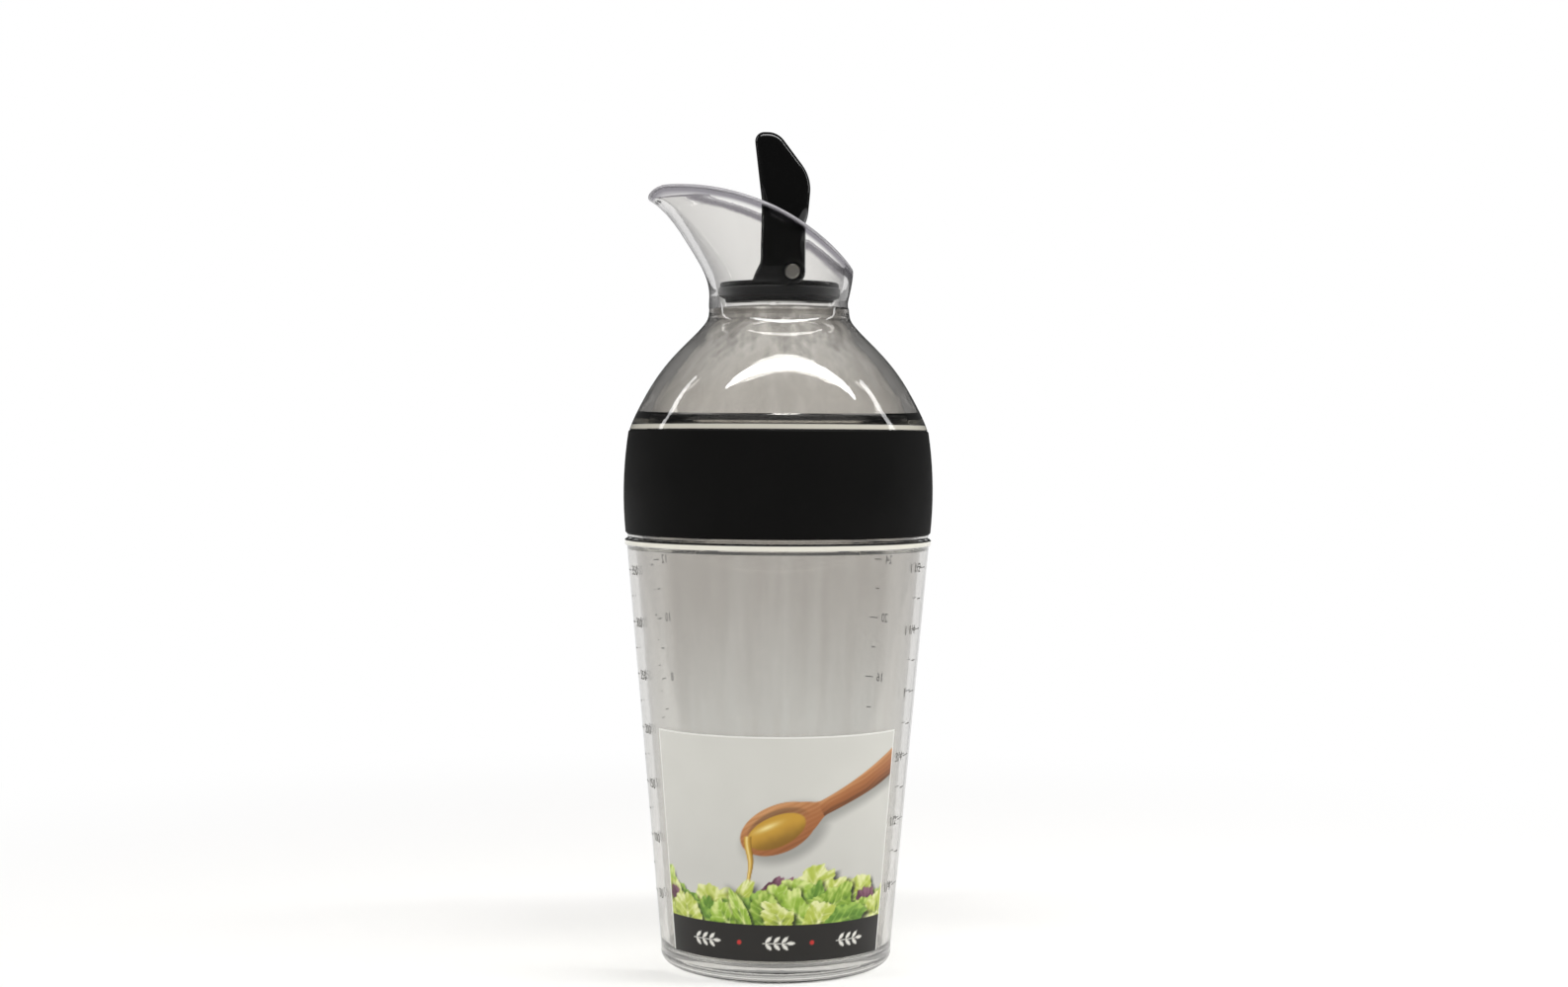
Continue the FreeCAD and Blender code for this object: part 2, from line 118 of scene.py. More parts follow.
def ringMask(tree, parts, piece, spec):  # 1 on a cut edge between two heights and outside a radius
    low, high, least = [size * mm for size in piece["ring"]]
    soft = spec["edgeSoft"] * mm
    flat = addNode(tree, "ShaderNodeCombineXYZ", None, {"X": parts["X"], "Y": parts["Y"]})
    radius = addNode(tree, "ShaderNodeVectorMath", {"operation": "LENGTH"}, {0: flat.outputs["Vector"]})
    steps = [
        (parts["Z"], low - soft, low + soft),
        (parts["Z"], high + soft, high - soft),
        (radius.outputs["Value"], least - soft, least),
    ]
    mask = None
    for value, start, end in steps:
        inside = addNode(tree, "ShaderNodeMapRange", None, {
            "Value": value, "From Min": start, "From Max": end}).outputs["Result"]
        mask = inside if mask is None else addNode(
            tree, "ShaderNodeMath", {"operation": "MULTIPLY"}, {0: mask, 1: inside}).outputs["Value"]
    return mask


def lipDepth(tree, place, parts, piece):  # how far a point lies below the spout's rim
    depths = []
    for across, up, radius in piece["lipArcs"]:
        offset = addNode(tree, "ShaderNodeVectorMath", {"operation": "SUBTRACT"}, {
            0: place, 1: (across * mm, 0, up * mm)})
        flat = addNode(tree, "ShaderNodeVectorMath", {"operation": "MULTIPLY"}, {
            0: offset.outputs["Vector"], 1: (1, 0, 1)})
        reach = addNode(tree, "ShaderNodeVectorMath", {"operation": "LENGTH"}, {0: flat.outputs["Vector"]})
        depths.append(addNode(tree, "ShaderNodeMath", {"operation": "SUBTRACT"}, {
            0: radius * mm, 1: reach.outputs["Value"]}).outputs["Value"])
    atNose = addNode(tree, "ShaderNodeMath", {"operation": "LESS_THAN"}, {
        0: parts["X"], 1: piece["noseStart"] * mm})
    return addNode(tree, "ShaderNodeMix", None, {
        "Factor": atNose.outputs["Value"], 2: depths[0], 3: depths[1]}).outputs[0]


def clearCopolyester(name, piece, spec):
    # blow and injection moulded clear copolyester: clear with a grey cast through two walls, partly
    # painted shade for what stands behind it, deeper up the body and at the lid's neck; painted shade
    # where the wall is seen along its thickness, partly the longer path through the grey; a paler painted
    # reflection where the round side turns away; a painted dark band along the spout's thick lip with a
    # painted highlight on its rounded edge; faint upright flow waves that streak what is seen through it,
    # with painted streaks of light and shade in the tint; and pale cut edges, frosted and painted with glow
    material, tree, output, place = startMaterial(name)
    parts = addNode(tree, "ShaderNodeSeparateXYZ", None, {"Vector": place}).outputs
    flowSizes = (spec["flowAround"], spec["flowAround"], spec["flowUp"])
    spread = addNode(tree, "ShaderNodeMapping", None, {
        "Vector": place, "Scale": [1 / (size * mm) for size in flowSizes]})
    flow = addNode(tree, "ShaderNodeTexNoise", None, {
        "Vector": spread.outputs["Vector"], "Scale": 1.0, "Detail": 2.0}).outputs["Fac"]
    haze = addNode(tree, "ShaderNodeTexNoise", None, {
        "Vector": place, "Scale": 1 / (spec["hazeSize"] * mm), "Detail": 3.0}).outputs["Fac"]
    rough = addNode(tree, "ShaderNodeMapRange", None, {
        **noiseSpan, "Value": haze, "To Min": spec["hazeLow"], "To Max": spec["hazeHigh"]})
    waves = addNode(tree, "ShaderNodeBump", None, {
        "Height": flow, "Distance": spec["flowDepth"] * mm, "Strength": 1.0})
    # tint by height, partly painted shade, shifted along the flow into painted streaks
    lowest, highest = piece["tints"][0][0], piece["tints"][-1][0]
    rise = addNode(tree, "ShaderNodeMapRange", None, {
        "Value": parts["Z"], "From Min": lowest * mm, "From Max": highest * mm})
    shift = addNode(tree, "ShaderNodeMapRange", None, {
        **noiseSpan, "Value": flow, "To Min": -spec["streak"], "To Max": spec["streak"]})
    streaked = addNode(tree, "ShaderNodeMath", {"operation": "ADD", "use_clamp": True}, {
        0: rise.outputs["Result"], 1: shift.outputs["Result"]})
    wall = addNode(tree, "ShaderNodeValToRGB", None, {"Fac": streaked.outputs["Value"]})
    stops = wall.color_ramp.elements
    for height, code in piece["tints"]:
        share = (height - lowest) / (highest - lowest)
        stop = stops.new(share) if 0 < share < 1 else stops[0 if share == 0 else -1]
        stop.color = inkColour(code)
    colour = wall.outputs["Color"]
    # painted reflection and painted shade where the wall turns away from the eye
    facing = addNode(tree, "ShaderNodeLayerWeight", None, {"Blend": 0.5}).outputs["Facing"]
    layers = []  # masks with the inks that they lay on, in turn
    if "side" in piece:
        start, end = piece["sideFacing"]
        turned = addNode(tree, "ShaderNodeMapRange", {"interpolation_type": "SMOOTHSTEP"}, {
            "Value": facing, "From Min": start, "From Max": end})
        layers.append((turned.outputs["Result"], piece["side"]))
    grazing = addNode(tree, "ShaderNodeMath", {"operation": "POWER"}, {0: facing, 1: piece["rimShadePower"]})
    layers.append((grazing.outputs["Value"], piece["rim"]))
    # painted dark lip band with a painted highlight on its rounded edge, and frosted cut edges with painted
    # glow
    if "lipArcs" in piece:
        depth = lipDepth(tree, place, parts, piece)
        for width, code in ((piece["lipWidth"], piece["lipShadeInk"]), (piece["lipEdge"], piece["lipHighlightInk"])):
            lip = addNode(tree, "ShaderNodeMapRange", None, {
                "Value": depth,
                "From Min": (width + spec["lipSoft"]) * mm, "From Max": (width - spec["lipSoft"]) * mm})
            layers.append((lip.outputs["Result"], code))
    if "ring" in piece:
        layers.append((ringMask(tree, parts, piece, spec), piece["ringFrostGlowInk"]))
    for mask, code in layers:
        colour = addNode(tree, "ShaderNodeMix", {"data_type": "RGBA"}, {
            "Factor": mask, 6: colour, 7: inkColour(code)}).outputs[2]
    clear = addNode(tree, "ShaderNodeMapRange", None, {
        "Value": layers[-1][0], "To Min": 1.0, "To Max": piece["edgeClear"]})
    # what is behind it is lit as through clear walls
    path = addNode(tree, "ShaderNodeLightPath").outputs
    colour = addNode(tree, "ShaderNodeMix", {"data_type": "RGBA"}, {
        "Factor": path["Diffuse Depth"], 6: colour, 7: inkColour(spec["shadowTint"])}).outputs[2]
    plastic = addNode(tree, "ShaderNodeBsdfPrincipled", None, {
        "Base Color": colour,
        "Transmission Weight": clear.outputs["Result"],
        "IOR": spec["ior"],
        "Roughness": rough.outputs["Result"],
        "Specular Tint": inkColour(piece["mirror"]),
        "Normal": waves.outputs["Normal"],
    })
    lampLight = addNode(tree, "ShaderNodeBsdfTransparent", None, {"Color": inkColour(spec["shadowTint"])})
    both = addNode(tree, "ShaderNodeMixShader", None, {
        "Fac": path["Is Shadow Ray"], 1: plastic.outputs["BSDF"], 2: lampLight.outputs["BSDF"]})
    tree.links.new(both.outputs["Shader"], output.inputs["Surface"])
    return material


# the other materials

gripSpec = {
    "black": "#070706", "worn": "#0c0b0a", "patch": 22.0,  # mm
    "stipple": 0.45, "stippleDepth": 0.02,  # real stipple is about 0.1 mm, drawn coarser so that it shows
    "roughLow": 0.6, "roughHigh": 0.72, "shine": 0.12,
}


def softGripElastomer(name, spec):
    # overmoulded thermoplastic elastomer with a fine spark-eroded stipple: a dead matt black
    # with a slow, faint change of tone where hands have polished it
    material, tree, output, place = startMaterial(name)
    tone = addNode(tree, "ShaderNodeTexNoise", None, {
        "Vector": place, "Scale": 1 / (spec["patch"] * mm), "Detail": 3.0}).outputs["Fac"]
    grit = addNode(tree, "ShaderNodeTexNoise", None, {
        "Vector": place, "Scale": 1 / (spec["stipple"] * mm), "Detail": 2.0}).outputs["Fac"]
    wear = addNode(tree, "ShaderNodeMapRange", None, {**noiseSpan, "Value": tone})
    rough = addNode(tree, "ShaderNodeMapRange", None, {
        **noiseSpan, "Value": tone, "To Min": spec["roughHigh"], "To Max": spec["roughLow"]})
    bump = addNode(tree, "ShaderNodeBump", None, {
        "Height": grit, "Distance": spec["stippleDepth"] * mm, "Strength": 1.0})
    colour = addNode(tree, "ShaderNodeMix", {"data_type": "RGBA"}, {
        "Factor": wear.outputs["Result"], 6: inkColour(spec["black"]), 7: inkColour(spec["worn"])})
    body = addNode(tree, "ShaderNodeBsdfPrincipled", None, {
        "Base Color": colour.outputs[2],
        "Roughness": rough.outputs["Result"],
        "Specular IOR Level": spec["shine"],
        "Normal": bump.outputs["Normal"],
    })
    tree.links.new(body.outputs["BSDF"], output.inputs["Surface"])
    return material


leverSpec = {
    "black": "#050505", "ior": 1.53, "peel": 2.6, "peelDepth": 0.006,  # mm
    "roughLow": 0.06, "roughHigh": 0.14, "rubSize": 5.0,
}


def glossBlackAbs(name, spec):
    # injection moulded black ABS from a polished tool: deep black, sharp highlights broken by
    # light orange peel and fine rubbed patches
    material, tree, output, place = startMaterial(name)
    rub = addNode(tree, "ShaderNodeTexNoise", None, {
        "Vector": place, "Scale": 1 / (spec["rubSize"] * mm), "Detail": 4.0}).outputs["Fac"]
    peel = addNode(tree, "ShaderNodeTexNoise", None, {
        "Vector": place, "Scale": 1 / (spec["peel"] * mm), "Detail": 1.0}).outputs["Fac"]
    rough = addNode(tree, "ShaderNodeMapRange", None, {
        **noiseSpan, "Value": rub, "To Min": spec["roughLow"], "To Max": spec["roughHigh"]})
    bump = addNode(tree, "ShaderNodeBump", None, {
        "Height": peel, "Distance": spec["peelDepth"] * mm, "Strength": 1.0})
    body = addNode(tree, "ShaderNodeBsdfPrincipled", None, {
        "Base Color": inkColour(spec["black"]),
        "IOR": spec["ior"],
        "Roughness": rough.outputs["Result"],
        "Normal": bump.outputs["Normal"],
    })
    tree.links.new(body.outputs["BSDF"], output.inputs["Surface"])
    return material


siliconeSpec = {
    "black": "#0e0e10", "bloom": "#161619", "bloomSize": 6.0,  # mm
    "roughLow": 0.38, "roughHigh": 0.52, "shine": 0.4,
}


def blackSilicone(name, spec):
    # compression moulded silicone rubber: blue-black with a satin skin and a faint dusty bloom
    material, tree, output, place = startMaterial(name)
    bloom = addNode(tree, "ShaderNodeTexNoise", None, {
        "Vector": place, "Scale": 1 / (spec["bloomSize"] * mm), "Detail": 4.0}).outputs["Fac"]
    dust = addNode(tree, "ShaderNodeMapRange", None, {**noiseSpan, "Value": bloom})
    rough = addNode(tree, "ShaderNodeMapRange", None, {
        **noiseSpan, "Value": bloom, "To Min": spec["roughLow"], "To Max": spec["roughHigh"]})
    colour = addNode(tree, "ShaderNodeMix", {"data_type": "RGBA"}, {
        "Factor": dust.outputs["Result"], 6: inkColour(spec["black"]), 7: inkColour(spec["bloom"])})
    body = addNode(tree, "ShaderNodeBsdfPrincipled", None, {
        "Base Color": colour.outputs[2],
        "Roughness": rough.outputs["Result"],
        "Specular IOR Level": spec["shine"],
    })
    tree.links.new(body.outputs["BSDF"], output.inputs["Surface"])
    return material


pinSpec = {
    "steel": "#b9b6b0",
    "turnPitch": 0.35, "turnReach": 8.0, "turnDepth": 0.004,  # mm, turning marks drawn wider so that they show
    "roughLow": 0.3, "roughHigh": 0.45, "smearSize": 1.5,
}


def turnedStainless(name, spec):
    # turned stainless rod: grey metal with fine rings round its axis
    material, tree, output, place = startMaterial(name)
    smear = addNode(tree, "ShaderNodeTexNoise", None, {
        "Vector": place, "Scale": 1 / (spec["smearSize"] * mm), "Detail": 2.0}).outputs["Fac"]
    ringSizes = (spec["turnReach"], spec["turnPitch"], spec["turnReach"])
    spread = addNode(tree, "ShaderNodeMapping", None, {
        "Vector": place, "Scale": [1 / (size * mm) for size in ringSizes]})
    rings = addNode(tree, "ShaderNodeTexNoise", None, {
        "Vector": spread.outputs["Vector"], "Scale": 1.0, "Detail": 1.0}).outputs["Fac"]
    rough = addNode(tree, "ShaderNodeMapRange", None, {
        **noiseSpan, "Value": smear, "To Min": spec["roughLow"], "To Max": spec["roughHigh"]})
    bump = addNode(tree, "ShaderNodeBump", None, {
        "Height": rings, "Distance": spec["turnDepth"] * mm, "Strength": 1.0})
    body = addNode(tree, "ShaderNodeBsdfPrincipled", None, {
        "Base Color": inkColour(spec["steel"]),
        "Metallic": 1.0,
        "Roughness": rough.outputs["Result"],
        "Normal": bump.outputs["Normal"],
    })
    tree.links.new(body.outputs["BSDF"], output.inputs["Surface"])
    return material


paperSpec = {"paper": "#f0efea", "fibre": "#e4e3dc", "fibreSize": 1.2, "rough": 0.6}  # mm


def labelPaper(name, spec):
    # coated label paper seen at its cut edge and through the bottle from behind
    material, tree, output, place = startMaterial(name)
    fibre = addNode(tree, "ShaderNodeTexNoise", None, {
        "Vector": place, "Scale": 1 / (spec["fibreSize"] * mm), "Detail": 4.0}).outputs["Fac"]
    share = addNode(tree, "ShaderNodeMapRange", None, {**noiseSpan, "Value": fibre})
    colour = addNode(tree, "ShaderNodeMix", {"data_type": "RGBA"}, {
        "Factor": share.outputs["Result"], 6: inkColour(spec["paper"]), 7: inkColour(spec["fibre"])})
    body = addNode(tree, "ShaderNodeBsdfPrincipled", None, {
        "Base Color": colour.outputs[2], "Roughness": spec["rough"]})
    tree.links.new(body.outputs["BSDF"], output.inputs["Surface"])
    return material


printSpec = {
    "layer": "inks", "shine": 0.35, "roughLow": 0.3, "roughHigh": 0.42,
    "cockle": 9.0, "cockleDepth": 0.01,  # mm
}


def offsetPrintedPaper(name, spec):
    # four-colour print on coated paper under a thin varnish: satin, with a slight cockle where
    # the glue holds it unevenly
    material, tree, output, place = startMaterial(name)
    cockle = addNode(tree, "ShaderNodeTexNoise", None, {
        "Vector": place, "Scale": 1 / (spec["cockle"] * mm), "Detail": 2.0}).outputs["Fac"]
    rough = addNode(tree, "ShaderNodeMapRange", None, {
        **noiseSpan, "Value": cockle, "To Min": spec["roughLow"], "To Max": spec["roughHigh"]})
    bump = addNode(tree, "ShaderNodeBump", None, {
        "Height": cockle, "Distance": spec["cockleDepth"] * mm, "Strength": 1.0})
    inks = addNode(tree, "ShaderNodeVertexColor", {"layer_name": spec["layer"]})
    body = addNode(tree, "ShaderNodeBsdfPrincipled", None, {
        "Base Color": inks.outputs["Color"],
        "Roughness": rough.outputs["Result"],
        "Specular IOR Level": spec["shine"],
        "Normal": bump.outputs["Normal"],
    })
    tree.links.new(body.outputs["BSDF"], output.inputs["Surface"])
    return material


inkSpec = {"thick": "#55544f", "thin": "#74736e", "screen": 0.9, "rough": 0.5}  # mm


def screenPrintInk(name, spec):
    # screen printed grey ink, a little thinner and paler in places
    material, tree, output, place = startMaterial(name)
    screen = addNode(tree, "ShaderNodeTexNoise", None, {
        "Vector": place, "Scale": 1 / (spec["screen"] * mm), "Detail": 2.0}).outputs["Fac"]
    share = addNode(tree, "ShaderNodeMapRange", None, {**noiseSpan, "Value": screen})
    colour = addNode(tree, "ShaderNodeMix", {"data_type": "RGBA"}, {
        "Factor": share.outputs["Result"], 6: inkColour(spec["thick"]), 7: inkColour(spec["thin"])})
    body = addNode(tree, "ShaderNodeBsdfPrincipled", None, {
        "Base Color": colour.outputs[2], "Roughness": spec["rough"]})
    tree.links.new(body.outputs["BSDF"], output.inputs["Surface"])
    return material


siliconeMaterial = blackSilicone("black_silicone_moulded", siliconeSpec)
finishes = {
    "bottle": clearCopolyester("clear_copolyester_bottle", clearPieces["bottle"], clearSpec),
    "lid_dome": clearCopolyester("clear_copolyester_lid", clearPieces["lid"], clearSpec),
    "pour_spout": clearCopolyester("clear_copolyester_spout", clearPieces["spout"], clearSpec),
    "grip_band": softGripElastomer("black_elastomer_stippled", gripSpec),
    "pour_lever": glossBlackAbs("black_abs_polished", leverSpec),
    "lid_gasket": siliconeMaterial,
    "valve_seal": siliconeMaterial,
    "pivot_pin": turnedStainless("stainless_turned", pinSpec),
    "front_label": labelPaper("label_paper_coated", paperSpec),
}
for nodeName, material in finishes.items():
    nodes[nodeName].material_slots[0].material = material
print("materials set on", len(finishes), "nodes")


# the bottle's side, which the label and the scales follow

bodySpec = {"heelRadius": 30.9, "heelHeight": 3.0, "shoulderRadius": 40.6, "shoulderHeight": 111.4}  # mm


def sideRadius(height):  # mm
    rise = (height - bodySpec["heelHeight"]) / (bodySpec["shoulderHeight"] - bodySpec["heelHeight"])
    return bodySpec["heelRadius"] + (bodySpec["shoulderRadius"] - bodySpec["heelRadius"]) * rise


def onSide(angle, height, standOff):  # angle in radians from the front, growing to the right seen from outside
    radius = sideRadius(height) + standOff
    return (radius * math.sin(angle) * mm, -radius * math.cos(angle) * mm, height * mm)


def meshPiece(name, points, faces, material, body):
    mesh = bpy.data.meshes.new(name)
    mesh.from_pydata(points, [], faces)
    mesh.update()
    piece = bpy.data.objects.new(name, mesh)
    scene.collection.objects.link(piece)
    mesh.materials.append(material)
    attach(piece, body)
    return piece


# painting on the flat label, in mm across from its middle and up from its foot

fullTurn = 6.28  # radians


def ramp(value, low, high):  # smooth step from 0 at low to 1 at high
    share = np.clip((value - low) / (high - low), 0, 1)
    return share * share * (3 - 2 * share)


def lay(picture, colour, cover):
    return picture + (colour - picture) * cover[:, None]


def oval(x, y, middle, half):  # depth inside an oval, in mm across it
    return (1 - np.hypot((x - middle[0]) / half[0], (y - middle[1]) / half[1])) * half[1]


def mottle(across, up, size, draw):  # smooth seeded noise from -1 to 1
    cells, shift = 64, 20
    table = draw.uniform(-1, 1, (cells, cells))
    column, row = across / size + shift, up / size + shift
    left, below = np.floor(column).astype(int), np.floor(row).astype(int)
    right, over = ramp(column - left, 0, 1), ramp(row - below, 0, 1)

    def corner(i, j):
        return table[(below + j) % cells, (left + i) % cells]

    low = corner(0, 0) * (1 - right) + corner(1, 0) * right
    high = corner(0, 1) * (1 - right) + corner(1, 1) * right
    return low * (1 - over) + high * over


# salad leaves

leafSpec = {
    "lobes": ((2, 0.06), (5, 0.06), (9, 0.035), (17, 0.022), (29, 0.012)),  # count and share of its size
    "tipBroad": 0.2, "outline": (-0.1, 0.14),
    "shadowShift": (0.6, -0.9), "shadowEdge": (-1.2, 1.0), "shadowCrown": (-0.5, 3.0), "shadowDark": 0.72,
    "heartTone": 0.18, "outerTone": 0.42, "outerReach": 0.95,
    "foldTwist": 2.6, "foldMiddle": 0.35, "foldTone": 0.36,
    "ruffles": 17, "ruffleTurn": 1.2, "ruffleReach": (0.55, 0.95), "ruffleTone": 0.16,
    "mottles": ((1.6, 0.2), (0.6, 0.1)),  # size and tone
    "skyTone": 0.3,  # lit from above
    "midTones": (-0.1, 0.5), "lightTones": (0.5, 1.15), "lightShare": 0.9,
    "ribTaper": 0.38, "ribEnd": 1.2, "ribLeast": 0.05, "ribReach": (-0.8, 0.2), "ribShare": 0.85,
    "branches": 7.0, "branchLean": (0.8, 1.2), "branchEdge": (0.86, 1.0),
    "branchReach": 0.92, "branchFade": 0.4, "branchShare": 0.4,
}


def leafPlace(across, up, leaf, spec):  # shares of the leaf's length and width
    turn = leaf["turn"]
    x = (across - leaf["across"]) * math.cos(turn) + (up - leaf["up"]) * math.sin(turn)
    y = (up - leaf["up"]) * math.cos(turn) - (across - leaf["across"]) * math.sin(turn)
    u = x / leaf["length"]
    bend = y + leaf["bend"] * u * u * leaf["width"]
    broad = 1 - spec["tipBroad"] + spec["tipBroad"] * np.clip(u, -1, 1)
    v = bend / (leaf["width"] * broad)
    around, reach = np.arctan2(v, u), np.hypot(u, v)
    edge = np.ones_like(reach)
    for (lobes, share), start in zip(spec["lobes"], leaf["starts"]):
        edge += share * np.sin(lobes * around + start) * leaf["frill"]
    return u, v, bend, around, reach, edge


def paintLeaf(picture, across, up, leaf, inks, draw, spec):
    dark, mid, light = [inkTone(code) for code in inks]
    shiftAcross, shiftUp = spec["shadowShift"]
    reach, edge = leafPlace(across - shiftAcross, up - shiftUp, leaf, spec)[4:]
    shade = ramp((edge - reach) * leaf["width"], *spec["shadowEdge"]) * spec["shadowDark"]
    picture = picture * (1 - (shade * ramp(leaf["crown"] - up, *spec["shadowCrown"]))[:, None])
    u, v, bend, around, reach, edge = leafPlace(across, up, leaf, spec)
    cover = ramp((edge - reach) * leaf["width"], *spec["outline"])
    depth = np.clip(reach / edge, 0, 1)
    foldStart = draw.uniform(0, fullTurn)
    fold = 0.5 + 0.5 * np.sin(leaf["folds"] * around + spec["foldTwist"] * depth + foldStart)
    ruffle = np.sin(spec["ruffles"] * around + leaf["starts"][3] + spec["ruffleTurn"])
    ruffle = ruffle * ramp(depth, *spec["ruffleReach"])
    tone = spec["heartTone"] + ramp(depth, 0.0, spec["outerReach"]) * spec["outerTone"]
    tone += spec["foldTone"] * (fold - spec["foldMiddle"]) + spec["ruffleTone"] * ruffle
    for size, share in spec["mottles"]:
        tone += share * mottle(across, up, size, draw)
    tone += spec["skyTone"] * (v * math.cos(leaf["turn"]) + u * math.sin(leaf["turn"]))
    colour = dark + (mid - dark) * ramp(tone, *spec["midTones"])[:, None]
    colour = lay(colour, light, ramp(tone, *spec["lightTones"]) * spec["lightShare"])
    rib = np.exp(-(bend / (spec["ribTaper"] * (spec["ribEnd"] - u) + spec["ribLeast"])) ** 2)
    rib = rib * ramp(-u, *spec["ribReach"])
    aside, along = spec["branchLean"]
    branch = np.abs(np.sin(spec["branches"] * (np.abs(v) * aside - u * along) + leaf["starts"][0]))
    branch = ramp(branch, *spec["branchEdge"]) * spec["branchShare"]
    branch = branch * ramp(spec["branchReach"] - depth, 0.0, spec["branchFade"])
    colour = lay(colour, light, np.clip(rib * spec["ribShare"] + branch, 0, 1))
    return lay(picture, colour, cover)


heapSpec = {
    "count": 34, "top": 22.0,
    "shade": "#27301a", "shadeDrop": 6.5, "shadeMottle": (6.0, 1.8), "shadeEdge": (-0.6, 0.6),
    "half": 34, "step": 0.618, "jitter": 2,  # leaves spread evenly along the heap
    "wave": 2.4, "waveRate": 0.13, "waveStart": 0.6, "crownJitter": 1.5,
    "backDrop": 5.0, "frontDrop": 10.0, "leastUp": 0.5,  # back leaves first, then down to the strip
    "fan": 0.028, "turnJitter": 0.9, "bend": 0.5, "folds": (3, 7),
    "slimShare": 0.2,  # long leaves with a pale rib among the round ones
    "slim": {"length": (7.0, 9.0), "width": (1.8, 2.6), "frill": (0.4, 0.8)},
    "round": {"length": (4.8, 7.4), "width": (4.2, 6.6), "frill": (0.9, 1.7)},
    "greens": (
        ("#3c5a1c", "#7fa332", "#cfe07c"),
        ("#4a6b1f", "#95b93c", "#e0ea9a"),
        ("#2f4a1c", "#5f8a2c", "#a9c95a"),
        ("#6b7f2c", "#b7c650", "#eef0b8"),
    ),
    "red": ("#3a2330", "#5d3347", "#94677a"), "redShare": 0.16,
}


def paintHeap(picture, across, up, base, draw, spec):
    size, depth = spec["shadeMottle"]
    under = spec["top"] - spec["shadeDrop"] - up + depth * mottle(across, up, size, draw)
    picture = lay(picture, inkTone(spec["shade"]), ramp(under, *spec["shadeEdge"]))
    for index in range(spec["count"]):
        drop = spec["backDrop"] + spec["frontDrop"] * index / spec["count"]
        spread = 2 * spec["half"] * ((index * spec["step"]) % 1)
        middle = -spec["half"] + spread + draw.uniform(-spec["jitter"], spec["jitter"])
        wave = spec["wave"] * math.sin(middle * spec["waveRate"] + spec["waveStart"])
        crown = spec["top"] + wave + draw.uniform(-spec["crownJitter"], spec["crownJitter"])
        form = spec["slim"] if draw.uniform() < spec["slimShare"] else spec["round"]
        leaf = {
            "across": middle, "up": max(crown - drop, base + spec["leastUp"]), "crown": crown,
            "turn": math.pi / 2 - middle * spec["fan"] + draw.uniform(-spec["turnJitter"], spec["turnJitter"]),
            "bend": draw.uniform(-spec["bend"], spec["bend"]),
            "length": draw.uniform(*form["length"]),
            "width": draw.uniform(*form["width"]),
            "frill": draw.uniform(*form["frill"]),
            "folds": int(draw.integers(*spec["folds"])),
            "starts": draw.uniform(0, fullTurn, len(leafSpec["lobes"])),
        }
        isRed = draw.uniform() < spec["redShare"]
        inks = spec["red"] if isRed else spec["greens"][int(draw.integers(0, len(spec["greens"])))]
        picture = paintLeaf(picture, across, up, leaf, inks, draw, leafSpec)
    return picture


# wooden spoon and dressing, drawn along the spoon from its tip

spoonSpec = {
    "tip": (-7.5, 31.0), "tail": (38.0, 51.5), "outline": (-0.12, 0.16),
    "bowlMiddle": (9.0, 0.0), "bowlHalf": (10.5, 6.2), "bowlEnd": 21,
    "hollowHalf": (8.9, 4.9), "hollowEdge": (-0.2, 0.5), "hollowRise": (-1.0, 5.0), "hollowDark": 0.3,
    "handleHalf": 2.0, "handleStart": 15, "handleGrow": 1.1, "growReach": (20, 48),
    "throatGrow": 2.2, "throatEnd": 22, "throatLength": 6, "leastHalf": 0.5,
    "shadowMiddle": (10.2, -1.8), "shadowHalf": (10.5, 6.4), "shadowDepth": 6.2,
    "shadowDrop": 1.4, "shadowStart": 16, "shadowEdge": (-2.2, 1.0), "shadowDark": 0.22,
    "grainRate": 5.2, "grainSway": (5.0, 2.7),
    "fibreStretch": (0.12, 1.6), "fibreSize": 0.5, "fibreShare": 0.35,
    "handleTones": (0.5, 0.34, 0.16), "bowlTones": (0.62, 0.25, 0.14),  # middle, round and grain
    "woodTones": (0.0, 0.55), "lightTones": (0.5, 1.0),
    "woodDark": "#5b3418", "wood": "#a8683a", "woodLight": "#d6a06c",
}
dressingSpec = {
    "oilDark": "#8a6418", "oil": "#c99a34", "oilLight": "#f1dc94",
    "poolMiddle": (8.2, -0.4), "poolHalf": (8.0, 4.0), "poolEdge": (-0.15, 0.2),
    "poolMottle": (1.4, 0.3), "poolTones": (-4.0, 0.6), "glint": (6.5, 1.5), "glintHalf": (3.2, 0.7),
    "lip": (0.6, -0.6), "sway": 0.35, "swayRate": 0.55, "lean": 0.02,  # its thread over the lip
    "wide": 0.95, "narrowing": 0.45, "narrowReach": (0, 9), "spreading": 0.25, "spreadReach": (9, 14),
    "threadTop": 2.2, "threadFoot": 15.5, "threadOutline": (-0.12, 0.16),
    "lightSide": -0.25, "lightWide": 0.3, "darkSide": (0.25, 1.0),
}


def alongSpoon(across, up, spec):
    tip, tail = np.array(spec["tip"]), np.array(spec["tail"])
    run = (tail - tip) / np.linalg.norm(tail - tip)
    x = (across - tip[0]) * run[0] + (up - tip[1]) * run[1]
    y = (up - tip[1]) * run[0] - (across - tip[0]) * run[1]
    return x, y


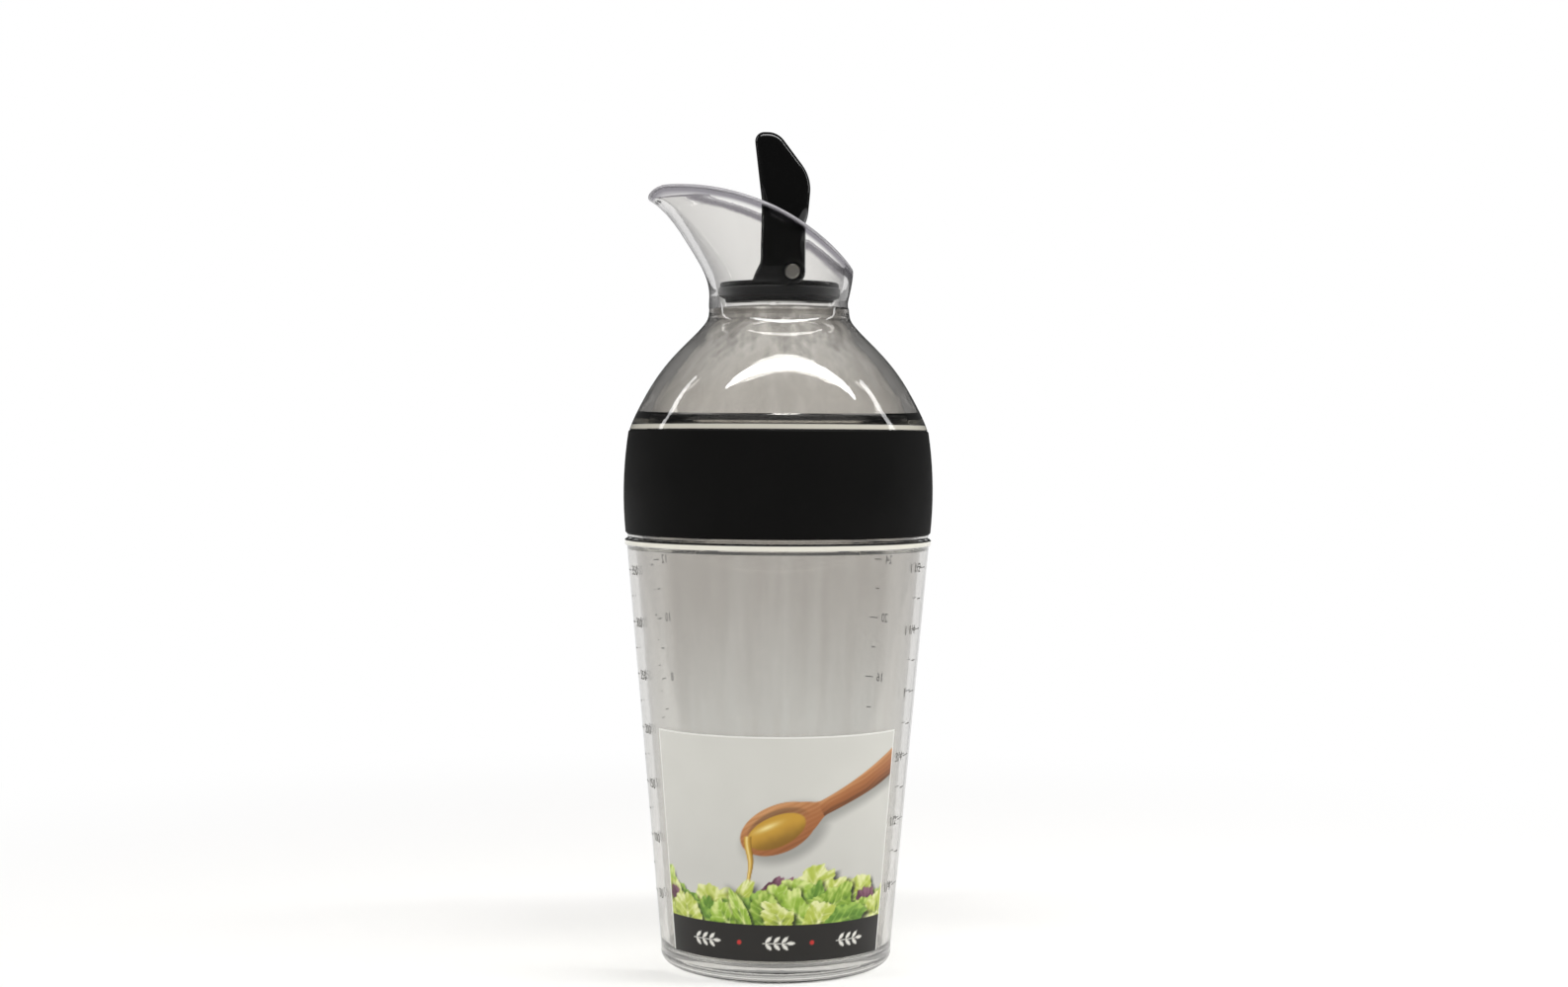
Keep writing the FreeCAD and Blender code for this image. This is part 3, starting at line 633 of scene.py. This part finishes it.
def paintSpoon(picture, across, up, draw, spec):
    wood, dark, light = [inkTone(spec[key]) for key in ("wood", "woodDark", "woodLight")]
    x, y = alongSpoon(across, up, spec)
    half = spec["handleHalf"] + spec["handleGrow"] * ramp(x, *spec["growReach"])
    half += spec["throatGrow"] * ramp(spec["throatEnd"] - x, 0, spec["throatLength"])
    handle = np.minimum(half - np.abs(y), x - spec["handleStart"])
    gap = np.maximum(oval(x, y, spec["bowlMiddle"], spec["bowlHalf"]), handle)
    bowlFall = oval(x, y, spec["shadowMiddle"], spec["shadowHalf"])
    bowlFall = bowlFall * spec["shadowDepth"] / spec["shadowHalf"][1]
    handleFall = np.minimum(half - np.abs(y + spec["shadowDrop"]), x - spec["shadowStart"])
    fall = ramp(np.maximum(bowlFall, handleFall), *spec["shadowEdge"])
    picture = picture * (1 - spec["shadowDark"] * fall[:, None])
    swaySize, sway = spec["grainSway"]
    grain = 0.5 + 0.5 * np.sin(spec["grainRate"] * y + sway * mottle(across, up, swaySize, draw))
    alongShare, acrossShare = spec["fibreStretch"]
    fibre = 0.5 + 0.5 * mottle(x * alongShare, y * acrossShare, spec["fibreSize"], draw)
    grain = (1 - spec["fibreShare"]) * grain + spec["fibreShare"] * fibre - 0.5
    roundness = np.clip(y / np.maximum(half, spec["leastHalf"]), -1, 1)
    middle, rounding, grainTone = spec["handleTones"]
    handleTone = middle + rounding * roundness + grainTone * grain
    middle, rounding, grainTone = spec["bowlTones"]
    bowlTone = middle + rounding * y / spec["bowlHalf"][1] + grainTone * grain
    tone = np.where(x < spec["bowlEnd"], bowlTone, handleTone)
    colour = dark + (wood - dark) * ramp(tone, *spec["woodTones"])[:, None]
    colour = lay(colour, light, ramp(tone, *spec["lightTones"]))
    hollow = ramp(oval(x, y, spec["bowlMiddle"], spec["hollowHalf"]), *spec["hollowEdge"])
    colour = colour * (1 - spec["hollowDark"] * (hollow * ramp(y, *spec["hollowRise"]))[:, None])
    return lay(picture, colour, ramp(gap, *spec["outline"]))


def paintDressing(picture, across, up, draw, spec):
    oil, dark, light = [inkTone(spec[key]) for key in ("oil", "oilDark", "oilLight")]
    x, y = alongSpoon(across, up, spoonSpec)
    size, share = spec["poolMottle"]
    depth = ramp(y + share * mottle(across, up, size, draw), *spec["poolTones"])
    sheen = dark + (oil - dark) * depth[:, None]
    (glintX, glintY), (halfX, halfY) = spec["glint"], spec["glintHalf"]
    sheen = lay(sheen, light, np.exp(-((x - glintX) / halfX) ** 2 - ((y - glintY) / halfY) ** 2))
    pool = oval(x, y, spec["poolMiddle"], spec["poolHalf"])
    picture = lay(picture, sheen, ramp(pool, *spec["poolEdge"]))
    lipAcross, lipUp = np.array(spoonSpec["tip"]) + np.array(spec["lip"])
    fallen = lipUp - up
    line = lipAcross + spec["sway"] * np.sin(up * spec["swayRate"]) + spec["lean"] * fallen
    wide = spec["wide"] - spec["narrowing"] * ramp(fallen, *spec["narrowReach"])
    wide += spec["spreading"] * ramp(fallen, *spec["spreadReach"])
    ends = np.minimum(fallen + spec["threadTop"], up - spec["threadFoot"])
    thread = np.minimum(wide - np.abs(across - line), ends)
    side = (across - line) / wide
    colour = oil + (light - oil) * np.exp(-((side - spec["lightSide"]) / spec["lightWide"]) ** 2)[:, None]
    colour = lay(colour, dark, ramp(side, *spec["darkSide"]))
    return lay(picture, colour, ramp(thread, *spec["threadOutline"]))


# sprigs on the strip

sprigSpec = {
    "ink": "#e9e7e0", "outline": (-0.1, 0.12),
    "stemHalf": 0.13, "stemReach": 3.4,
    "steps": (-2.3, -0.2, 1.9), "turn": 0.8, "bladeAhead": 0.5, "bladeAside": 0.95,
    "bladeWide": 0.5, "bladeLong": 1.2, "lastStep": 3.4,
}


def paintSprig(picture, across, up, middle, spec):
    x, y = across - middle[0], up - middle[1]
    marks = np.minimum(spec["stemHalf"] - np.abs(y), spec["stemReach"] - np.abs(x))
    blades = [(step, side) for step in spec["steps"] for side in (-1, 1)] + [(spec["lastStep"], 0)]
    for step, side in blades:
        turn = side * spec["turn"]
        px, py = x - step - spec["bladeAhead"], y - side * spec["bladeAside"]
        u = px * math.cos(turn) + py * math.sin(turn)
        v = py * math.cos(turn) - px * math.sin(turn)
        blade = spec["bladeWide"] * (1 - np.clip(u / spec["bladeLong"], -1, 1) ** 2)  # pointed at both ends
        marks = np.maximum(marks, np.minimum(blade - np.abs(v), spec["bladeLong"] - np.abs(u)))
    return lay(picture, inkTone(spec["ink"]), ramp(marks, *spec["outline"]))


# printed face of the label

labelSpec = {
    "bottom": 6.0, "height": 58.4, "halfAngle": 57.0, "standOff": 0.29,  # mm and degrees, as the label's solid
    "columns": 256, "rows": 222, "seed": 7,
    "ground": "#d8d7d0", "groundLow": "#cecdc7", "groundFade": (14, 50), "groundMottle": (6.0, 0.006),
    "strip": "#1e1b18", "stripHeight": 9.6, "stripEdge": (-0.1, 0.12),
    "dot": "#c8322c", "dotRadius": 0.62, "dotPlaces": (-9.4, 9.4), "dotEdge": (-0.12, 0.14),
    "sprigPlaces": (-19.5, 0.0, 19.5),
    "margin": 0.4, "marginInk": "#efeee9", "marginEdge": (-0.1, 0.1), "footBleed": 9,  # no margin at the foot
}


def paintLabel(across, up, half, spec):
    draw = np.random.default_rng(spec["seed"])
    high, low = inkTone(spec["ground"]), inkTone(spec["groundLow"])
    picture = low + (high - low) * ramp(up, *spec["groundFade"])[:, None]
    size, share = spec["groundMottle"]
    picture = picture + share * mottle(across, up, size, draw)[:, None]
    picture = paintSpoon(picture, across, up, draw, spoonSpec)
    picture = paintDressing(picture, across, up, draw, dressingSpec)
    base = spec["stripHeight"]
    picture = paintHeap(picture, across, up, base, draw, heapSpec)
    picture = lay(picture, inkTone(spec["strip"]), ramp(base - up, *spec["stripEdge"]))
    for place in spec["dotPlaces"]:
        dot = spec["dotRadius"] - np.hypot(across - place, up - base / 2)
        picture = lay(picture, inkTone(spec["dot"]), ramp(dot, *spec["dotEdge"]))
    for place in spec["sprigPlaces"]:
        picture = paintSprig(picture, across, up, (place, base / 2), sprigSpec)
    rim = np.minimum(np.minimum(half - np.abs(across), spec["height"] - up), up + spec["footBleed"])
    picture = lay(picture, inkTone(spec["marginInk"]), ramp(spec["margin"] - rim, *spec["marginEdge"]))
    return np.clip(picture, 0, 1)


def makeLabelPrint(spec):
    heights = np.linspace(0, spec["height"], spec["rows"] + 1)
    angles = np.radians(np.linspace(-spec["halfAngle"], spec["halfAngle"], spec["columns"] + 1))
    points = [onSide(a, spec["bottom"] + h, spec["standOff"]) for h in heights for a in angles]
    wide = spec["columns"] + 1
    faces = [(r * wide + c, r * wide + c + 1, (r + 1) * wide + c + 1, (r + 1) * wide + c)
             for r in range(spec["rows"]) for c in range(spec["columns"])]
    material = offsetPrintedPaper("label_print_varnished", printSpec)
    piece = meshPiece("label_face", points, faces, material, "bottle_body")
    piece.data.polygons.foreach_set("use_smooth", [True] * len(faces))
    up = np.repeat(heights, wide)
    radius = np.array([sideRadius(spec["bottom"] + h) for h in heights]).repeat(wide)
    across = np.tile(angles, spec["rows"] + 1) * radius
    half = math.radians(spec["halfAngle"]) * radius
    tones = toLinear(paintLabel(across, up, half, spec))
    inks = piece.data.color_attributes.new(printSpec["layer"], "FLOAT_COLOR", "POINT")
    inks.data.foreach_set("color", np.column_stack([tones, np.ones(len(tones))]).astype(np.float32).ravel())


makeLabelPrint(labelSpec)
print("label printed")


# volume scales

scaleSpec = {
    "standOff": 0.03, "thick": 0.03, "letter": 3.5, "tickHigh": 0.28,  # mm
    "shortShare": 0.55, "smooth": 3,
    "volumes": (0, 50, 100, 150, 200, 250, 300, 350, 380),  # mL
    "heights": (4.0, 19.2, 34.2, 48.6, 63.0, 77.3, 91.2, 105.0, 113.0),  # mm
}
ounce, spoonful = 29.574, 14.787  # mL
wholeMarks = range(50, 351, 50)
# angle of the figures from the front in degrees, the tick's two ends beside them in mm, and the marks in mL
scaleRows = {
    "scale_millilitres": (-70.0, -4.6, -7.6, [(str(v), v) for v in wholeMarks]),
    "scale_ounces": (-123.0, 3.4, 6.2, [(str(v), v * ounce) for v in range(2, 13, 2)]),
    "scale_ticks": (-123.0, 6.6, 8.4, [("", v) for v in wholeMarks]),  # millilitres beside the ounces
    "scale_cups": (64.0, 3.2, 8.0, [
        ("1/4", 59.15), ("1/2", 118.3), ("3/4", 177.4), ("1", 236.6), ("1 1/4", 295.7), ("1 1/2", 354.9)]),
    "scale_spoons": (125.0, 3.5, 6.6, [(str(v), v * spoonful) for v in range(4, 25, 4)]),
}


def markHeight(millilitres):
    return float(np.interp(millilitres, scaleSpec["volumes"], scaleSpec["heights"]))


def figureMesh(text):  # one figure as a thin solid, centred, in mm
    curve = bpy.data.curves.new("figure", "FONT")
    curve.body = text
    curve.size = scaleSpec["letter"]
    curve.align_x, curve.align_y = "CENTER", "CENTER"
    curve.extrude = scaleSpec["thick"] / 2
    curve.resolution_u = scaleSpec["smooth"]
    holder = bpy.data.objects.new("figure", curve)
    scene.collection.objects.link(holder)
    bpy.context.view_layer.update()
    mesh = bpy.data.meshes.new_from_object(holder.evaluated_get(bpy.context.evaluated_depsgraph_get()))
    points = [tuple(v.co) for v in mesh.vertices]
    faces = [tuple(p.vertices) for p in mesh.polygons]
    bpy.data.objects.remove(holder)
    bpy.data.curves.remove(curve)
    bpy.data.meshes.remove(mesh)
    return points, faces


def barMesh(start, end):  # one tick as a thin solid, in mm
    left, right = sorted((start, end))
    deep, high = scaleSpec["thick"] / 2, scaleSpec["tickHigh"] / 2
    points = [(x, y, z) for z in (-deep, deep) for y in (-high, high) for x in (left, right)]
    faces = [(0, 2, 3, 1), (4, 5, 7, 6), (0, 1, 5, 4), (2, 6, 7, 3), (0, 4, 6, 2), (1, 3, 7, 5)]
    return points, faces


def makeScale(name, angle, tickStart, tickEnd, rows, material):
    shortEnd = tickStart + (tickEnd - tickStart) * scaleSpec["shortShare"]
    points, faces = [], []
    for index, (text, millilitres) in enumerate(rows):
        height = markHeight(millilitres)
        placed = [(barMesh(tickStart, tickEnd), height)]
        if text:
            placed.append((figureMesh(text), height))
        if index:  # short tick half way down to the mark below
            between = markHeight((millilitres + rows[index - 1][1]) / 2)
            placed.append((barMesh(tickStart, shortEnd), between))
        for (partPoints, partFaces), z in placed:
            start = len(points)
            for x, y, out in partPoints:
                around = math.radians(angle) + x / sideRadius(z + y)
                points.append(onSide(around, z + y, scaleSpec["standOff"] + scaleSpec["thick"] / 2 + out))
            faces += [tuple(start + i for i in face) for face in partFaces]
    meshPiece(name, points, faces, material, "bottle_body")


scaleInk = screenPrintInk("grey_ink_screen_printed", inkSpec)
for scaleName, (angle, tickStart, tickEnd, rows) in scaleRows.items():
    makeScale(scaleName, angle, tickStart, tickEnd, rows, scaleInk)
print("volume scales printed:", len(scaleRows))


# floor, world, lamps and camera

studioSpec = {
    "floorSize": 12.0, "floorColour": "#f4f3f1", "floorRough": 0.9, "floorShine": 0.1,  # metres
    "shadeNear": 0.06, "shadeFar": 0.42,  # metres from the axis over which the card fades to white
    "fill": 0.58,  # soft light on plain surfaces
    "roomInGloss": 0.08, "floorInGloss": 1.0,  # what mirrored light sees, white elsewhere
    "wallShare": 0.3,  # how far light that runs along inside one clear wall escapes that
}


def backdropLight(tree, inGloss, wallShare):
    # white straight on and through clear plastic, dimmer in what mirrors it
    path = addNode(tree, "ShaderNodeLightPath").outputs
    mirrored = addNode(tree, "ShaderNodeMath", {"operation": "GREATER_THAN"}, {
        0: path["Glossy Depth"], 1: 0.5})
    alongWall = addNode(tree, "ShaderNodeMath", {"operation": "COMPARE"}, {  # in and out of one wall
        0: path["Transmission Depth"], 1: 2.0, 2: 0.5})
    gloss = addNode(tree, "ShaderNodeMath", {"operation": "MULTIPLY_ADD", "use_clamp": True}, {
        0: alongWall.outputs["Value"], 1: -wallShare, 2: mirrored.outputs["Value"]})
    level = addNode(tree, "ShaderNodeMapRange", None, {
        "Value": gloss.outputs["Value"], "To Min": 1.0, "To Max": inGloss})
    straight = addNode(tree, "ShaderNodeMath", {"operation": "MAXIMUM"}, {
        0: path["Is Camera Ray"], 1: path["Is Transmission Ray"]})
    seen = addNode(tree, "ShaderNodeMath", {"operation": "MAXIMUM"}, {
        0: straight.outputs["Value"], 1: path["Is Glossy Ray"]})
    return level.outputs["Result"], seen.outputs["Value"]


def makeFloor(spec):
    material, tree, output, place = startMaterial("pale_card_floor")
    level, seen = backdropLight(tree, spec["floorInGloss"], spec["wallShare"])
    reach = addNode(tree, "ShaderNodeVectorMath", {"operation": "LENGTH"}, {0: place})
    fade = addNode(tree, "ShaderNodeMapRange", {"interpolation_type": "SMOOTHSTEP"}, {
        "Value": reach.outputs["Value"], "From Min": spec["shadeNear"], "From Max": spec["shadeFar"]})
    share = addNode(tree, "ShaderNodeMath", {"operation": "MULTIPLY"}, {0: fade.outputs["Result"], 1: seen})
    card = addNode(tree, "ShaderNodeBsdfPrincipled", None, {
        "Base Color": inkColour(spec["floorColour"]),
        "Roughness": spec["floorRough"],
        "Specular IOR Level": spec["floorShine"],
    })
    plain = addNode(tree, "ShaderNodeEmission", None, {"Color": (1, 1, 1, 1), "Strength": level})
    both = addNode(tree, "ShaderNodeMixShader", None, {
        "Fac": share.outputs["Value"], 1: card.outputs["BSDF"], 2: plain.outputs["Emission"]})
    tree.links.new(both.outputs["Shader"], output.inputs["Surface"])
    half = spec["floorSize"] / 2
    corners = [(-half, -half, 0), (half, -half, 0), (half, half, 0), (-half, half, 0)]
    mesh = bpy.data.meshes.new("floor")
    mesh.from_pydata(corners, [], [(0, 1, 2, 3)])
    floor = bpy.data.objects.new("floor", mesh)
    scene.collection.objects.link(floor)
    mesh.materials.append(material)


def makeWorld(spec):
    world = bpy.data.worlds.new("studio")
    scene.world = world
    world.use_nodes = True
    tree = world.node_tree
    tree.nodes.clear()
    level, seen = backdropLight(tree, spec["roomInGloss"], spec["wallShare"])
    strength = addNode(tree, "ShaderNodeMix", None, {"Factor": seen, 2: spec["fill"], 3: level}).outputs[0]
    sky = addNode(tree, "ShaderNodeBackground", None, {"Color": (1, 1, 1, 1), "Strength": strength})
    addNode(tree, "ShaderNodeOutputWorld", None, {"Surface": sky.outputs["Background"]})


lampRows = {  # shape, place, turns in degrees, width, depth and brightness of the lamp's face
    "long_softbox_above": ("ELLIPSE", (0.13, -0.165, 0.86), (0, 0, 7), 1.25, 0.125, 15.0),
    "strip_left": ("RECTANGLE", (-0.75, 0.22, 0.57), (90, 0, -106), 0.06, 0.66, 5.0),
    "strip_right": ("RECTANGLE", (0.75, 0.16, 0.57), (90, 0, 102), 0.07, 0.66, 5.5),
}


def makeLamp(name, shape, place, turns, wide, deep, bright):
    lamp = bpy.data.lights.new(name, "AREA")
    lamp.shape = shape
    lamp.size, lamp.size_y = wide, deep
    lamp.energy = bright * math.pi * wide * deep * (math.pi / 4 if shape == "ELLIPSE" else 1)
    holder = bpy.data.objects.new(name, lamp)
    scene.collection.objects.link(holder)
    holder.location = place
    holder.rotation_euler = [math.radians(turn) for turn in turns]


makeFloor(studioSpec)
makeWorld(studioSpec)
for lampName, row in lampRows.items():
    makeLamp(lampName, *row)

cameraSpec = {
    "place": (0.0015, -0.588, 0.1385), "nearest": 0.01,  # metres
    "lens": 50.13, "sensor": 36.0,  # mm
    "down": 1.283, "roll": -0.3,  # degrees
}

eye = bpy.data.cameras.new("camera")
eye.sensor_fit, eye.sensor_width, eye.lens = "HORIZONTAL", cameraSpec["sensor"], cameraSpec["lens"]
eye.clip_start = cameraSpec["nearest"]
camera = bpy.data.objects.new("camera", eye)
scene.collection.objects.link(camera)
camera.location = cameraSpec["place"]
camera.rotation_euler = (math.radians(90 - cameraSpec["down"]), math.radians(cameraSpec["roll"]), 0)
scene.camera = camera
scene.view_settings.view_transform = "Standard"
print("studio set")
